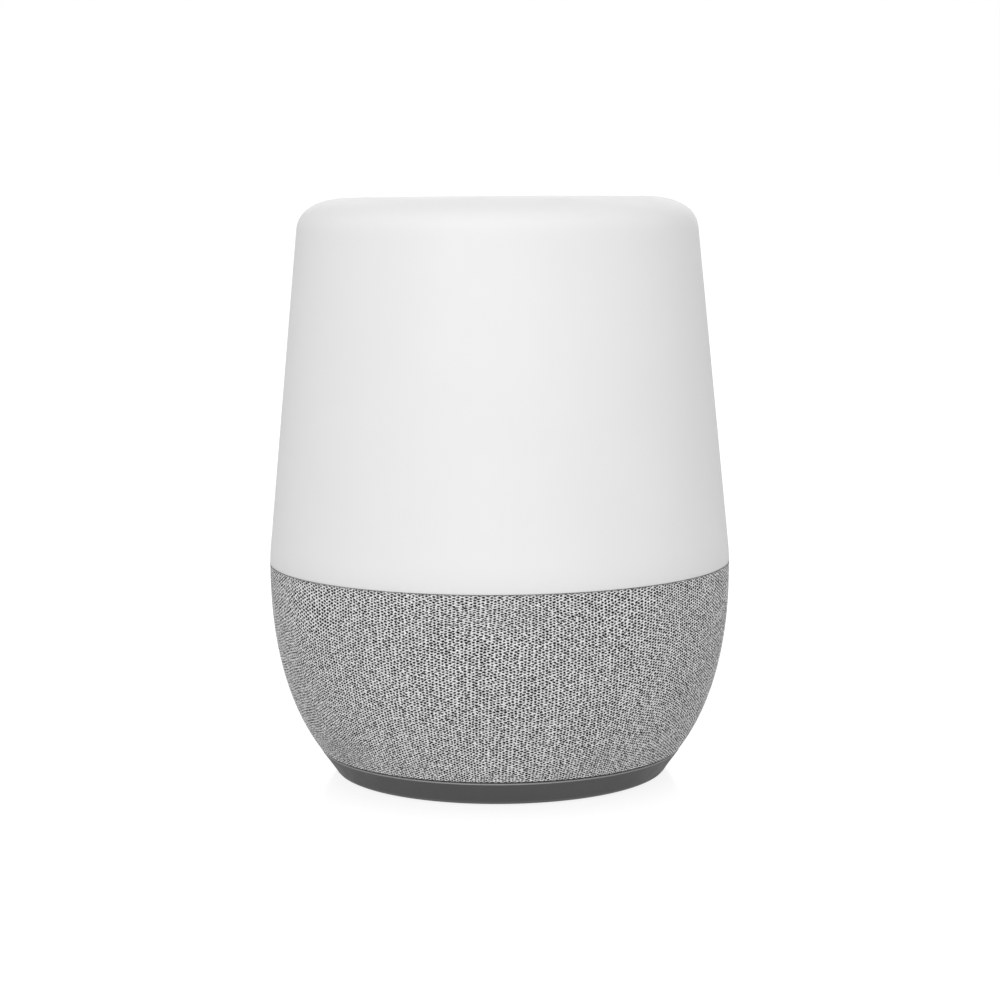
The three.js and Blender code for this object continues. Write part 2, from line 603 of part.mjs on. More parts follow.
function footRing() {
  const { flangeInner, flangeOuter, flangeLow, flangeHigh, topZ, wall } = RING;
  const heel = RING_HEEL.map(([r, z]) => point(r, z));
  const seat = BASE.radius + GAP;
  const body = turned([
    point(flangeInner, flangeLow), point(flangeOuter, flangeLow), ...heel,
    ...RING_SIDE.getPoints(3), point(RING_TOP.outer, topZ),
    point(RING_TOP.outer - RING_TOP.chamfer - wall, topZ), point(seat, flangeHigh + 0.6),
    point(seat, flangeHigh), point(flangeInner, flangeHigh),
  ], SHELL_SIDES);
  const heads = FOOT_SCREWS.angles.map((angle) => {
    const [x, y] = polar(FOOT_SCREWS.radius, angle);
    return rod(x, y, FOOT_SCREWS.headHole, flangeLow - 1, flangeHigh + 0.2);
  });
  return cut(body, cableChannel(), ...heads);
}

function rubberFoot() {
  const pad = ring(RUBBER.inner, RUBBER.outer, 0, RUBBER.height, SHELL_SIDES);
  return cut(pad, block([-RECESS.halfWidth - 0.5, 20, -1], [RECESS.halfWidth + 0.5, 45, 3]));
}

function baseHousing() {
  const { floorLow, floorHigh, radius, wallInner, wallHigh } = BASE;
  const tray = turned([
    point(0, floorLow), point(radius, floorLow), point(radius, wallHigh), point(wallInner, wallHigh),
    point(wallInner, floorHigh), point(0, floorHigh),
  ], SHELL_SIDES);
  const { halfWidth, front, back, ceiling, wall } = RECESS;
  const boss = block(
    [-halfWidth - wall, front - wall, floorLow], [halfWidth + wall, back + wall, ceiling + wall],
  );
  const inletSeat = block(
    [-INLET.halfWidth - GAP, INLET.front - GAP, floorLow - 1],
    [INLET.halfWidth + GAP, front - GAP, INLET_BOARD.low - 0.05],
  );
  const screwHoles = FOOT_SCREWS.angles.map((angle) => {
    const [x, y] = polar(FOOT_SCREWS.radius, angle);
    return rod(x, y, FOOT_SCREWS.baseHole, floorLow - 1, floorHigh + 1);
  });
  return cut(
    join(tray, boss), cableChannel(), ...screwHoles, inletSeat,
    rod(RESET.x, RESET.y, RESET.radius + 0.35, floorLow - 1, floorHigh + 1),
    rodAlongY(0, INLET.z, INLET.bore + 0.2, INLET.back - 1, front + 1),
  );
}

function ballastPlate() {
  const { inner, outer, low, high } = BALLAST;
  const side = RECESS.halfWidth + RECESS.wall + GAP;
  const holes = FOOT_SCREWS.angles.map((angle) => {
    const [x, y] = polar(FOOT_SCREWS.radius, angle);
    return rod(x, y, FOOT_SCREWS.ballastHole, low - 1, high + 1);
  });
  const bossGap = block([-side, RECESS.front - 7, low - 1], [side, outer + 4, high + 1]);
  return cut(ring(inner, outer, low, high, SHELL_SIDES), ...holes, bossGap);
}

/** The moulded power socket: a body with a bore that a centre pin stands in. */
function powerInlet() {
  const { z, bore, pin, depth, halfWidth, front, back } = INLET;
  const body = block([-halfWidth, front, BASE.floorLow], [halfWidth, back - GAP, INLET_BOARD.low - GAP]);
  const hollow = rodAlongY(0, z, bore, back - depth, back + 1);
  return join(cut(body, hollow), rodAlongY(0, z, pin, back - depth - 0.5, back - 1.2, 12));
}

function inletBoard() {
  const { left, right, front, back, low, high } = INLET_BOARD;
  const { x, y, switchSize, switchLow } = RESET;
  const half = switchSize / 2;
  const resetSwitch = block([x - half, y - half, switchLow], [x + half, y + half, low + 0.3]);
  return join(block([left, front, low], [right, back, high]), resetSwitch);
}

function resetButton() {
  const { x, y, radius, low, high, collar } = RESET;
  const collarLow = BASE.floorHigh + GAP;
  return join(rod(x, y, radius, low, high), rod(x, y, collar, collarLow, collarLow + 0.8));
}

/** The dome that turns the driver's sound outwards, cut where the base's boss and the lead pass. */
function soundDeflector() {
  const { radius, rimLow, rimHigh, rise, wall } = DEFLECTOR;
  const top = (r) => rimHigh + rise * Math.sqrt(1 - (r / radius) ** 2);
  const outer = steps(5).map((t) => radius * Math.cos(t * Math.PI / 2)).map((r) => point(r, top(r)));
  const innerRadius = radius - wall;
  const innerRise = rise + rimHigh - rimLow - wall;
  const inner = steps(4).map((t) => {
    const r = innerRadius * Math.sin(t * Math.PI / 2);
    return point(r, rimLow + innerRise * Math.sqrt(Math.max(1 - (r / innerRadius) ** 2, 0)));
  });
  const dome = turned([point(radius, rimLow), ...outer, ...inner], 24);
  const side = RECESS.halfWidth + RECESS.wall + GAP;
  return cut(
    dome,
    block([-side, RECESS.front - RECESS.wall - GAP, 5], [side, 40, RECESS.ceiling + RECESS.wall + GAP]),
    block(...DEFLECTOR_LEAD_GAP),
  );
}

// ---------------------------------------------------------------- leads
const driverLead = () => lead([
  [19.2, 3.4, 35.5], [25, 5, 36.5], [33, 6.4, 39.5],
  [DRIVER_LEAD_XY.x, DRIVER_LEAD_XY.y, 45], [DRIVER_LEAD_XY.x, DRIVER_LEAD_XY.y, 51],
  [DRIVER_LEAD_XY.x, DRIVER_LEAD_XY.y, BOARD.low - GAP],
]);

const powerLead = () => lead([
  [-17.4, 11, 10], [-23, 8, 9.7], [-30, 4, 9.7], [-36.5, 1, 11.5],
  [POWER_LEAD_XY.x, POWER_LEAD_XY.y, 17], [POWER_LEAD_XY.x, POWER_LEAD_XY.y, 26],
  [POWER_LEAD_XY.x, POWER_LEAD_XY.y, 42], [POWER_LEAD_XY.x, POWER_LEAD_XY.y, BOARD.low - GAP],
], 20);

// ---------------------------------------------------------------- assembly
const speaker = new THREE.Group();

/** Adds a named piece to the speaker and returns its mesh for placing. */
function add(name, solid, material) {
  const mesh = new THREE.Mesh(geometryOf(solid), material());
  mesh.name = name;
  speaker.add(mesh);
  return mesh;
}

add('diffuser_shade', diffuserShade(), MATERIAL.shade);
add('shade_lock_ring', shadeLockRing(), MATERIAL.innerPlastic);
add('touch_sensor', touchSensor(), MATERIAL.copper);
add('touch_post', touchPost(), MATERIAL.clearPlastic);
add('light_core', lightCore(), MATERIAL.aluminium);
for (let face = 0; face < 6; face += 1) {
  const strip = add(`led_strip_${face + 1}`, ledStrip(), MATERIAL.whitePlastic);
  strip.rotation.z = radians(30 + face * 60);
}
add('led_tray', ledTray(), MATERIAL.whitePlastic);

add('mid_deck', midDeck(), MATERIAL.innerPlastic);
add('main_board', mainBoard(), MATERIAL.board);
Object.entries(BOARD_PARTS).forEach(([name, size]) => add(name, onBoard(size), MATERIAL[size.material]));
CAPACITORS.xs.forEach((x, i) => add(`power_capacitor_${i + 1}`, capacitor(x), MATERIAL.aluminium));
BOARD.screwAngles.forEach((angle, i) => {
  const [x, y] = polar(BOARD.screwRadius, angle);
  const mesh = add(`board_screw_${i + 1}`, screw(BOARD_SCREW), MATERIAL.steel);
  mesh.position.set(x, y, BOARD.high + GAP);
});
MICS.angles.forEach((angle, i) => {
  const side = ['right', 'left'][i];
  add(`microphone_board_${side}`, micBoard(angle), MATERIAL.board);
  add(`microphone_boot_${side}`, micBoot(angle), MATERIAL.rubber);
});

add('chamber_shell', chamberShell(), MATERIAL.innerPlastic);
add('chamber_lid', chamberLid(), MATERIAL.innerPlastic);
add('driver_gasket', ring(GASKET.inner, DRIVER.flange, GASKET.low, GASKET.high, 20), MATERIAL.rubber);
add('driver_basket', driverBasket(), MATERIAL.steel);
add('driver_surround', halfRoll(DRIVER_ROLL), MATERIAL.rubber);
add('driver_spider', driverSpider(), MATERIAL.fabric);
add('driver_cone', driverCone(), MATERIAL.paper);
add('dust_cap', dustCap(), MATERIAL.paper);
add('voice_coil', voiceCoil(), MATERIAL.copper);
add('driver_top_plate', driverTopPlate(), MATERIAL.steel);
add('driver_magnet', driverMagnet(), MATERIAL.magnet);
add('driver_yoke', driverYoke(), MATERIAL.steel);
add('radiator_frame', radiatorFrame(), MATERIAL.innerPlastic);
add('radiator_surround', halfRoll(RADIATOR_ROLL), MATERIAL.rubber);
add('radiator_plate', radiatorPlate(), MATERIAL.aluminium);

add('grille_shell', grilleShell(), MATERIAL.darkPlastic);
add('fabric_sleeve', fabricSleeve(), MATERIAL.fabric);
[
  add('mute_bezel', muteBezel(), MATERIAL.darkPlastic),
  add('mute_button', muteButton(), MATERIAL.darkPlastic),
  add('mute_switch_board', muteSwitchBoard(), MATERIAL.board),
].forEach((mesh) => {
  mesh.rotation.x = -buttonLean();
  mesh.position.set(0, bowlRadius(BUTTON.z), BUTTON.z);
});

add('sound_deflector', soundDeflector(), MATERIAL.innerPlastic);
add('base_housing', baseHousing(), MATERIAL.darkPlastic);
add('ballast_plate', ballastPlate(), MATERIAL.steel);
add('foot_ring', footRing(), MATERIAL.darkPlastic);
add('rubber_foot', rubberFoot(), MATERIAL.rubber);
add('power_inlet', powerInlet(), MATERIAL.chip);
add('inlet_board', inletBoard(), MATERIAL.board);
add('reset_button', resetButton(), MATERIAL.darkPlastic);
FOOT_SCREWS.angles.forEach((angle, i) => {
  const [x, y] = polar(FOOT_SCREWS.radius, angle);
  const mesh = add(`foot_screw_${i + 1}`, screw(FOOT_SCREWS), MATERIAL.steel);
  mesh.rotation.x = Math.PI;
  mesh.position.set(x, y, RING.flangeHigh);
});
add('driver_lead', driverLead(), MATERIAL.cable);
add('power_lead', powerLead(), MATERIAL.cable);

export default speaker;
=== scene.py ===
"""Looks for the table-top smart speaker: a milky light shade on a knit-covered bowl with a dark foot ring.

Lengths inside the profile functions are millimetres; lathe() turns them into metres.
"""

import json
import math

import bmesh
import bpy
import numpy as np
from mathutils import Matrix, Vector


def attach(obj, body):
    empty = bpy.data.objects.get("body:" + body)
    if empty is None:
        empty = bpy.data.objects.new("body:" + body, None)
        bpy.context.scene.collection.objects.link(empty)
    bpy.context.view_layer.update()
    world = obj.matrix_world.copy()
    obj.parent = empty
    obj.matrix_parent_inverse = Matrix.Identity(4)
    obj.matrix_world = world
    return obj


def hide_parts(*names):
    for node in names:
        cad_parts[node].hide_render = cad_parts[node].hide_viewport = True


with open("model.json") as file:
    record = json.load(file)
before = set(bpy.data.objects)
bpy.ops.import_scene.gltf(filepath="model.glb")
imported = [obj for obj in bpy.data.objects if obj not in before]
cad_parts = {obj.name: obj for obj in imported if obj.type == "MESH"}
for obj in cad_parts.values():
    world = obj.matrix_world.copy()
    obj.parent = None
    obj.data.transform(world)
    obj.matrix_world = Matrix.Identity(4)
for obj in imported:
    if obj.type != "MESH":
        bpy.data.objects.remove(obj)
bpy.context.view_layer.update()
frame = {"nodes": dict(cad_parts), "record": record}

MM = 0.001
RNG = np.random.default_rng(41)

# ------------------------------------------------------------------ outer form, as in the CAD
TOP_Z = 150.0
SEAM_RADIUS = 60.0
SHADE_LOW_Z = 55.6
SHADE_WALL = 2.2
SHADE_SLOPE = 0.0972
CONE_LOW = (59.68, 60.4)
CONE_HIGH_Z = 141.5
FOOT_ARC = 75.0
CORNER_CENTRE, CORNER_RISE, CORNER_POWER = 38.0, 8.3, 2.4
SHADE_LIP = 0.22       # radius of the shade's lowest edge

BOWL = ((60.0, 53.6), (60.0, 26.3), (52.04, 10.05), (43.24, 2.0))
FABRIC_LOW_Z, FABRIC_HIGH_Z = 6.85, 55.54

RING_CURVE = ((43.6, 1.0), (44.4, 2.3), (45.9, 4.3), (47.25, 6.15))
RING_HEEL = ((42.7, 0.5), 0.2)         # centre and radius of its lowest edge's rounding
RING_TOP_Z = 6.55
RING_CHAMFER = ((46.82, 6.12), 0.43)   # centre and radius of its top edge's rounding
RING_FLANGE = {"inner": 27.0, "outer": 42.1, "low": 1.7, "high": 3.3, "seat": 43.2, "back": 44.95}
SCREW_CIRCLE, SCREW_ANGLES, SCREW_HEAD_HOLE = 36.5, (45, 135, 225, 315), 3.3
RECESS_BOX = ((-6.5, 22.0, -1.0), (6.5, 38.7, 10.5))
NOTCH_BOX = ((-4.5, 37.7, -1.0), (4.5, 52.0, 4.8))
PAD_INNER, PAD_OUTER, PAD_HEIGHT, PAD_EDGE = 29.5, 41.4, 1.4, 0.3
PAD_GAP_BOX = ((-7.0, 20.0, -1.0), (7.0, 45.0, 3.0))

# The button's and the bezel's depths are measured out from the fabric.
BUTTON_Z = 29.0
BUTTON_RADIUS = 4.5
BUTTON_PLAY = 0.4
BUTTON_EDGE, BUTTON_EDGE_CENTRE = 0.45, 0.25
BUTTON_DISH = {"radius": 3.6, "depth": 0.12, "middle": 0.5}
BUTTON_COLLAR = {"radius": 5.4, "back": -7.8, "front": -6.9}
BEZEL_FLANGE, BEZEL_RADIUS = 7.0, 5.9
BEZEL_BACK, BEZEL_SEAT, BEZEL_FACE = -6.5, 0.32, 0.95
BEZEL_INNER_EDGE, BEZEL_OUTER_EDGE = 0.25, 0.35
BEZEL_OVERLAP = 0.5    # how far the fabric's hole stays clear of the bezel's barrel

# ------------------------------------------------------------------ the knit
COLUMNS = 410          # columns of holes round the bowl
ROW = 0.71             # from one hole to the next in a column, in mm
HOLE_DEPTH = 0.26
RIM_DEPTH, KNOT_DEPTH = 0.10, 0.03
HOLE_HALF_WIDTH, HOLE_HALF_HEIGHT = 0.36, 0.265
HOLE_SLIP = 0.26       # how far a hole strays, as a share of the lattice's spacing
JITTER = 0.17          # how far a point strays, as a share of the mesh's spacing
EDGE_ROLL = 0.18       # radius of the cover's rolled edges
SLACK_ROWS = 34        # rows from an edge at which the courses wander freely
BACKING_POINTS = 12
COURSE_WAVES = ((3, 4.0), (5, 2.6), (8, 1.5), (13, 0.8), (29, 0.3))
COLUMN_WAVES = ((4, 3.0), (9, 2.0), (17, 1.0))

# ------------------------------------------------------------------ the studio
FLOOR_GLOW = 0.95      # what the camera sees of the table's own light
FLOOR_FILL = 0.48      # what the object receives of it
FLOOR_MATT = 0.22
FLOOR_GLOSS, FLOOR_ROUGHNESS = 0.13, 0.16
FLOOR_GLOSS_NEAR, FLOOR_GLOSS_FAR = 0.045, 0.095   # the gloss fades out between these, in metres
FLOOR_REACH = 60.0
FILL = 0.68            # the room's light on the object
CAMERA_PLACE = (0.0002, -0.649, 0.15275)
CAMERA_PITCH, CAMERA_ROLL = 7.18, -0.39
CAMERA_LENS, CAMERA_SENSOR = 90, 36


def bezier(points, t):
    """Points on a cubic curve, for an array of t from 0 to 1."""
    a, b, c, d = (np.array(p, float) for p in points)
    t = np.asarray(t, float)[:, None]
    return a * (1 - t) ** 3 + 3 * b * t * (1 - t) ** 2 + 3 * c * t * t * (1 - t) + d * t ** 3


def bowl_line():
    """The bowl's outer line from the foot up to the seam, closely spaced."""
    line = bezier(BOWL, np.linspace(1, 0, 400))
    return np.vstack([line, [[SEAM_RADIUS, 62.0]]])


def bowl_radius(z):
    line = bowl_line()
    return float(np.interp(z, line[:, 1], line[:, 0]))


def along(line):
    """Distance along a line at each of its points."""
    return np.concatenate([[0], np.cumsum(np.hypot(*np.diff(line, axis=0).T))])


def at(line, distance, values=None):
    """Points of a line, or values given for each of its points, at those distances along it."""
    s = along(line)
    values = line if values is None else values
    return np.column_stack([np.interp(distance, s, values[:, k]) for k in (0, 1)])


def normals(line):
    """Unit vectors square to a line of radius and height, to the right of its direction."""
    d = np.gradient(line, axis=0)
    d /= np.linalg.norm(d, axis=1)[:, None]
    return np.column_stack([d[:, 1], -d[:, 0]])


def fillet(centre, radius, start, end, count=6):
    """Points on an arc, angles in degrees."""
    a = np.radians(np.linspace(start, end, count))
    return np.column_stack([centre[0] + radius * np.cos(a), centre[1] + radius * np.sin(a)])


def mesh_object(name, co, faces, smooth=True):
    """A mesh from an array of points, in metres, and an array or list of faces."""
    mesh = bpy.data.meshes.new(name)
    mesh.from_pydata([tuple(c) for c in co], [], [tuple(f) for f in faces])
    mesh.validate()
    mesh.polygons.foreach_set("use_smooth", [smooth] * len(mesh.polygons))
    mesh.update()
    obj = bpy.data.objects.new(name, mesh)
    bpy.context.scene.collection.objects.link(obj)
    return obj


def lathe(name, profile, sides=192):
    """A closed outline of (radius, height) in mm turned about Z. A point on the axis becomes a pole."""
    profile = np.array(profile, float)
    angle = np.arange(sides) * 2 * math.pi / sides
    co, rings = [], []
    for r, z in profile:
        if r < 1e-6:
            rings.append([len(co)] * sides)
            co.append((0, 0, z * MM))
        else:
            rings.append(list(range(len(co), len(co) + sides)))
            co += [(r * math.cos(a) * MM, r * math.sin(a) * MM, z * MM) for a in angle]
    faces = []
    for here, there in zip(rings, rings[1:] + rings[:1]):
        for i in range(sides):
            j = (i + 1) % sides
            face = list(dict.fromkeys([here[i], here[j], there[j], there[i]]))
            if len(face) > 2:
                faces.append(face)
    return mesh_object(name, co, faces)


def cut(obj, *cutters):
    """Takes the cutters' shapes out of obj and removes them."""
    for cutter in cutters:
        mod = obj.modifiers.new("cut", "BOOLEAN")
        mod.operation, mod.solver, mod.object = "DIFFERENCE", "EXACT", cutter
    bpy.context.view_layer.update()
    mesh = bpy.data.meshes.new_from_object(obj.evaluated_get(bpy.context.evaluated_depsgraph_get()))
    obj.modifiers.clear()
    obj.data = mesh
    for cutter in cutters:
        bpy.data.objects.remove(cutter)


def box_cutter(low, high):
    """A box between two corners, in mm."""
    bm = bmesh.new()
    bmesh.ops.create_cube(bm, size=1)
    size = [h - l for l, h in zip(low, high)]
    middle = [(h + l) / 2 for l, h in zip(low, high)]
    bmesh.ops.transform(bm, verts=bm.verts, matrix=Matrix.Diagonal((*[s * MM for s in size], 1)))
    bmesh.ops.translate(bm, verts=bm.verts, vec=[m * MM for m in middle])
    mesh = bpy.data.meshes.new("cutter")
    bm.to_mesh(mesh)
    bm.free()
    obj = bpy.data.objects.new("cutter", mesh)
    bpy.context.scene.collection.objects.link(obj)
    return obj


def rod_cutter(x, y, radius, low, high):
    obj = lathe("cutter", [(0, low), (radius, low), (radius, high), (0, high)], 48)
    obj.data.transform(Matrix.Translation((x * MM, y * MM, 0)))
    return obj


def sharp_edges(obj, degrees=32):
    """Keeps the edges that are meant to be edges crisp under smooth shading."""
    bm = bmesh.new()
    bm.from_mesh(obj.data)
    limit = math.radians(degrees)
    for edge in bm.edges:
        edge.smooth = len(edge.link_faces) == 2 and edge.calc_face_angle(0) < limit
    bm.to_mesh(obj.data)
    bm.free()


# ------------------------------------------------------------------ material graphs
class Graph:
    """A material's node tree, built by calls that return sockets."""

    def __init__(self, name):
        self.material = bpy.data.materials.new(name)
        self.material.use_nodes = True
        self.tree = self.material.node_tree
        self.tree.nodes.clear()
        self.out = self.tree.nodes.new("ShaderNodeOutputMaterial")
        self.shader = self.tree.nodes.new("ShaderNodeBsdfPrincipled")
        self.tree.links.new(self.shader.outputs[0], self.out.inputs["Surface"])
        self.place = self.tree.nodes.new("ShaderNodeTexCoord").outputs["Object"]

    def set(self, socket, value):
        if hasattr(value, "is_output"):
            self.tree.links.new(value, socket)
        else:
            socket.default_value = value

    def node(self, kind, *inputs, **options):
        n = self.tree.nodes.new(kind)
        for key, value in options.items():
            setattr(n, key, value)
        for socket, value in zip(n.inputs, inputs):
            if value is not None:
                self.set(socket, value)
        return n

    def math(self, operation, a, b=0.0, c=0.0, clamp=False):
        return self.node("ShaderNodeMath", a, b, c, operation=operation, use_clamp=clamp).outputs[0]

    def scaled(self, x, y, z):
        """The place on the piece, with each axis stretched."""
        n = self.node("ShaderNodeVectorMath", self.place, operation="MULTIPLY")
        n.inputs[1].default_value = (x, y, z)
        return n.outputs[0]

    def noise(self, scale, detail=3.0, roughness=0.55, source=None):
        n = self.node("ShaderNodeTexNoise")
        self.set(n.inputs["Vector"], source or self.place)
        n.inputs["Scale"].default_value = scale
        n.inputs["Detail"].default_value = detail
        n.inputs["Roughness"].default_value = roughness
        return n.outputs["Fac"]

    def cells(self, scale, feature="F1", randomness=1.0):
        n = self.node("ShaderNodeTexVoronoi", feature=feature)
        self.set(n.inputs["Vector"], self.place)
        n.inputs["Scale"].default_value = scale
        n.inputs["Randomness"].default_value = randomness
        return n.outputs["Distance"]

    def span(self, value, low, high, new_low=0.0, new_high=1.0, smooth=True):
        """value between low and high, mapped to new_low and new_high."""
        n = self.node("ShaderNodeMapRange", interpolation_type="SMOOTHSTEP" if smooth else "LINEAR")
        for name, v in (("Value", value), ("From Min", low), ("From Max", high),
                        ("To Min", new_low), ("To Max", new_high)):
            self.set(n.inputs[name], v)
        return n.outputs["Result"]

    def mix(self, factor, a, b):
        n = self.node("ShaderNodeMix", data_type="RGBA")
        self.set(n.inputs[0], factor)
        for socket, value in ((n.inputs[6], a), (n.inputs[7], b)):
            self.set(socket, value if hasattr(value, "is_output") else (*value, 1.0))
        return n.outputs[2]

    def bump(self, height, distance, strength=1.0, normal=None):
        n = self.node("ShaderNodeBump")
        self.set(n.inputs["Strength"], strength)
        self.set(n.inputs["Distance"], distance)
        self.set(n.inputs["Height"], height)
        if normal is not None:
            self.set(n.inputs["Normal"], normal)
        return n.outputs[0]

    def finish(self, colour, roughness, normal=None, **fixed):
        """Links colour, roughness and normal; everything else is a constant on the shader's own socket."""
        self.set(self.shader.inputs["Base Color"], colour)
        self.set(self.shader.inputs["Roughness"], roughness)
        if normal is not None:
            self.set(self.shader.inputs["Normal"], normal)
        for key, value in fixed.items():
            self.shader.inputs[key.replace("_", " ")].default_value = value
        return self.material


def grey(v):
    return (v, v, v)


def moulded(name, colour, low, high, grain=2600.0, depth=0.00004, mottle=0.06, **fixed):
    """Moulded plastic or rubber: spark-eroded grain, a faint mottle, and roughness between low and high."""
    g = Graph(name)
    broad = g.noise(60.0, 4.0)
    fine = g.noise(grain, 2.0)
    dark = tuple(c * (1 - mottle) for c in colour)
    tint = g.mix(g.span(broad, 0.3, 0.7), dark, colour)
    speck = g.mix(g.span(fine, 0.35, 0.75, 0.0, 0.25), tint, tuple(min(c * 1.35, 1) for c in colour))
    rough = g.span(g.noise(240.0, 4.0), 0.3, 0.7, low, high)
    normal = g.bump(fine, depth, 0.5)
    return g.finish(speck, rough, normal, **fixed)


def milky(name):
    """Opal plastic: light soaks in a little and comes out soft, under a satin skin."""
    g = Graph(name)
    cloud = g.noise(28.0, 3.0, 0.5)
    tint = g.mix(g.span(cloud, 0.35, 0.65), (0.782, 0.783, 0.783), (0.794, 0.794, 0.793))
    # Painted shade: the colour darkens a little towards the shade's lower edge at the seam.
    height = g.node("ShaderNodeSeparateXYZ", g.place).outputs[2]
    foot = g.span(height, 0.0555, 0.064, 1.0, 0.0)
    tint = g.mix(g.math("MULTIPLY", foot, 0.5), tint, grey(0.75))
    pore = g.noise(3200.0, 2.0)
    rough = g.span(g.noise(180.0, 3.0), 0.3, 0.7, 0.36, 0.44)
    normal = g.bump(g.noise(900.0, 3.0), 0.00003, 0.25, g.bump(pore, 0.00001, 0.3))
    return g.finish(tint, rough, normal, Subsurface_Weight=0.25, Subsurface_Radius=(0.006, 0.006, 0.0058),
                    Subsurface_Scale=1.0, IOR=1.49, Specular_IOR_Level=0.25)


def knit(name):
    """The cover's knit: a diamond net of twisted yarn round dark pinholes, on the UV map's lattice."""
    g = Graph(name)
    uv = g.node("ShaderNodeUVMap", uv_map="knit").outputs[0]
    axes = g.node("ShaderNodeSeparateXYZ", uv)
    x, y = axes.outputs[0], axes.outputs[1]
    half = g.math("MULTIPLY", x, 0.5)
    p, q = g.math("ADD", half, y), g.math("SUBTRACT", half, y)
    cell_p, cell_q = g.math("ROUND", p), g.math("ROUND", q)
    dp, dq = g.math("SUBTRACT", p, cell_p), g.math("SUBTRACT", q, cell_q)

    # One random value for each hole, and one for each length of yarn between two crossings.
    cell = g.node("ShaderNodeCombineXYZ", cell_p, cell_q).outputs[0]
    hole_chance = g.node("ShaderNodeTexWhiteNoise", cell, noise_dimensions="2D").outputs["Value"]
    yarn_p = g.node("ShaderNodeCombineXYZ", g.math("FLOOR", p), cell_q).outputs[0]
    yarn_chance = g.node("ShaderNodeTexWhiteNoise", yarn_p, noise_dimensions="2D").outputs["Value"]

    # Distance from the hole's middle, in hole radii. Each hole sits a little off its place.
    chance = g.node("ShaderNodeTexWhiteNoise", cell, noise_dimensions="2D")
    slip = g.node("ShaderNodeSeparateColor", chance.outputs["Color"])
    off_p = g.math("MULTIPLY_ADD", slip.outputs[1], -HOLE_SLIP, g.math("ADD", dp, HOLE_SLIP / 2))
    off_q = g.math("MULTIPLY_ADD", slip.outputs[2], -HOLE_SLIP, g.math("ADD", dq, HOLE_SLIP / 2))
    column = 2 * math.pi * SEAM_RADIUS / COLUMNS
    across = g.math("MULTIPLY", g.math("ADD", off_p, off_q), column / HOLE_HALF_WIDTH)
    up = g.math("MULTIPLY", g.math("SUBTRACT", off_p, off_q), ROW / 2 / HOLE_HALF_HEIGHT)
    away = g.math("SQRT", g.math("ADD", g.math("MULTIPLY", across, across), g.math("MULTIPLY", up, up)))
    size = g.math("MULTIPLY_ADD", hole_chance, 0.34, 0.92)
    hole = g.span(g.math("DIVIDE", away, size), 0.60, 1.15, 1.0, 0.0)

    # Yarn: a strand along each diagonal, with a fine twist, and a painted highlight in the knots where they
    # cross.
    strand_p = g.math("ABSOLUTE", g.math("MULTIPLY", dp, 2.0))
    strand_q = g.math("ABSOLUTE", g.math("MULTIPLY", dq, 2.0))
    knot = g.math("MULTIPLY", g.span(strand_p, 0.05, 0.50), g.span(strand_q, 0.05, 0.50))
    twist = g.math("SINE", g.math("MULTIPLY", g.math("SUBTRACT", dp, g.math("MULTIPLY", dq, 2.0)), 22.0))
    fibre = g.noise(2200.0, 2.0)
    strands = g.math("MULTIPLY", g.math("MAXIMUM", strand_p, strand_q), 0.7)
    height = g.math("MULTIPLY_ADD", twist, 0.06, strands)
    height = g.math("MULTIPLY_ADD", fibre, 0.3, height)
    height = g.math("SUBTRACT", height, hole)

    # Painted highlight: the knots are paler by a random amount for each length of yarn, with a random fibre
    # tone on top.
    painted_highlight_and_fibre = g.math("MULTIPLY", knot, g.math("MULTIPLY_ADD", yarn_chance, 0.3, 0.85))
    painted_highlight_and_fibre = g.math("ADD", painted_highlight_and_fibre, g.span(fibre, 0.35, 0.65, -0.38, 0.45), clamp=True)
    lit = g.mix(painted_highlight_and_fibre, grey(0.53), (1.0, 1.0, 0.995))
    colour = g.mix(hole, lit, grey(0.008))
    rough = g.span(hole, 0.0, 1.0, 0.82, 0.97)
    normal = g.bump(height, 0.00016, 1.0)
    return g.finish(colour, rough, normal, Sheen_Weight=0.08, Sheen_Roughness=0.5,
                    Specular_IOR_Level=0.2)


def ring_plastic(name):
    """The foot ring's dark plastic, with a painted highlight along its top edge and painted light on its
    lowest edge.
    """
    g = Graph(name)
    height = g.node("ShaderNodeSeparateXYZ", g.place).outputs[2]
    # Painted highlight on the top edge's chamfer, and painted light on the lowest edge.
    rim = g.span(height, 0.0061, 0.0063, 0.0, 1.0)
    painted_heel_light = g.span(height, 0.0006, 0.0014, 1.0, 0.0)
    fine = g.noise(2600.0, 2.0)
    tint = g.mix(g.span(g.noise(60.0, 4.0), 0.3, 0.7), grey(0.066), grey(0.073))
    tint = g.mix(g.span(fine, 0.35, 0.75, 0.0, 0.25), tint, grey(0.098))
    # Painted light: the lowest edge is paler, as if lit from the table.
    tint = g.mix(painted_heel_light, tint, grey(0.12))
    # The painted highlight on the top edge goes on last, over the mottled tint.
    tint = g.mix(rim, tint, grey(0.32))
    rough = g.span(g.noise(240.0, 4.0), 0.3, 0.7, 0.40, 0.50)
    return g.finish(tint, rough, g.bump(fine, 0.00004, 0.5), IOR=1.46)


def brushed(name, colour, stretch=(40.0, 2400.0, 2400.0), low=0.25, high=0.45):
    """Plain metal with drawn or turned lines."""
    g = Graph(name)
    lines = g.noise(1.0, 4.0, 0.6, g.scaled(*stretch))
    tint = g.mix(g.span(lines, 0.3, 0.7), tuple(c * 0.82 for c in colour), colour)
    rough = g.span(g.noise(90.0, 4.0), 0.3, 0.7, low, high)
    return g.finish(tint, rough, g.bump(lines, 0.00002, 0.4), Metallic=1.0)


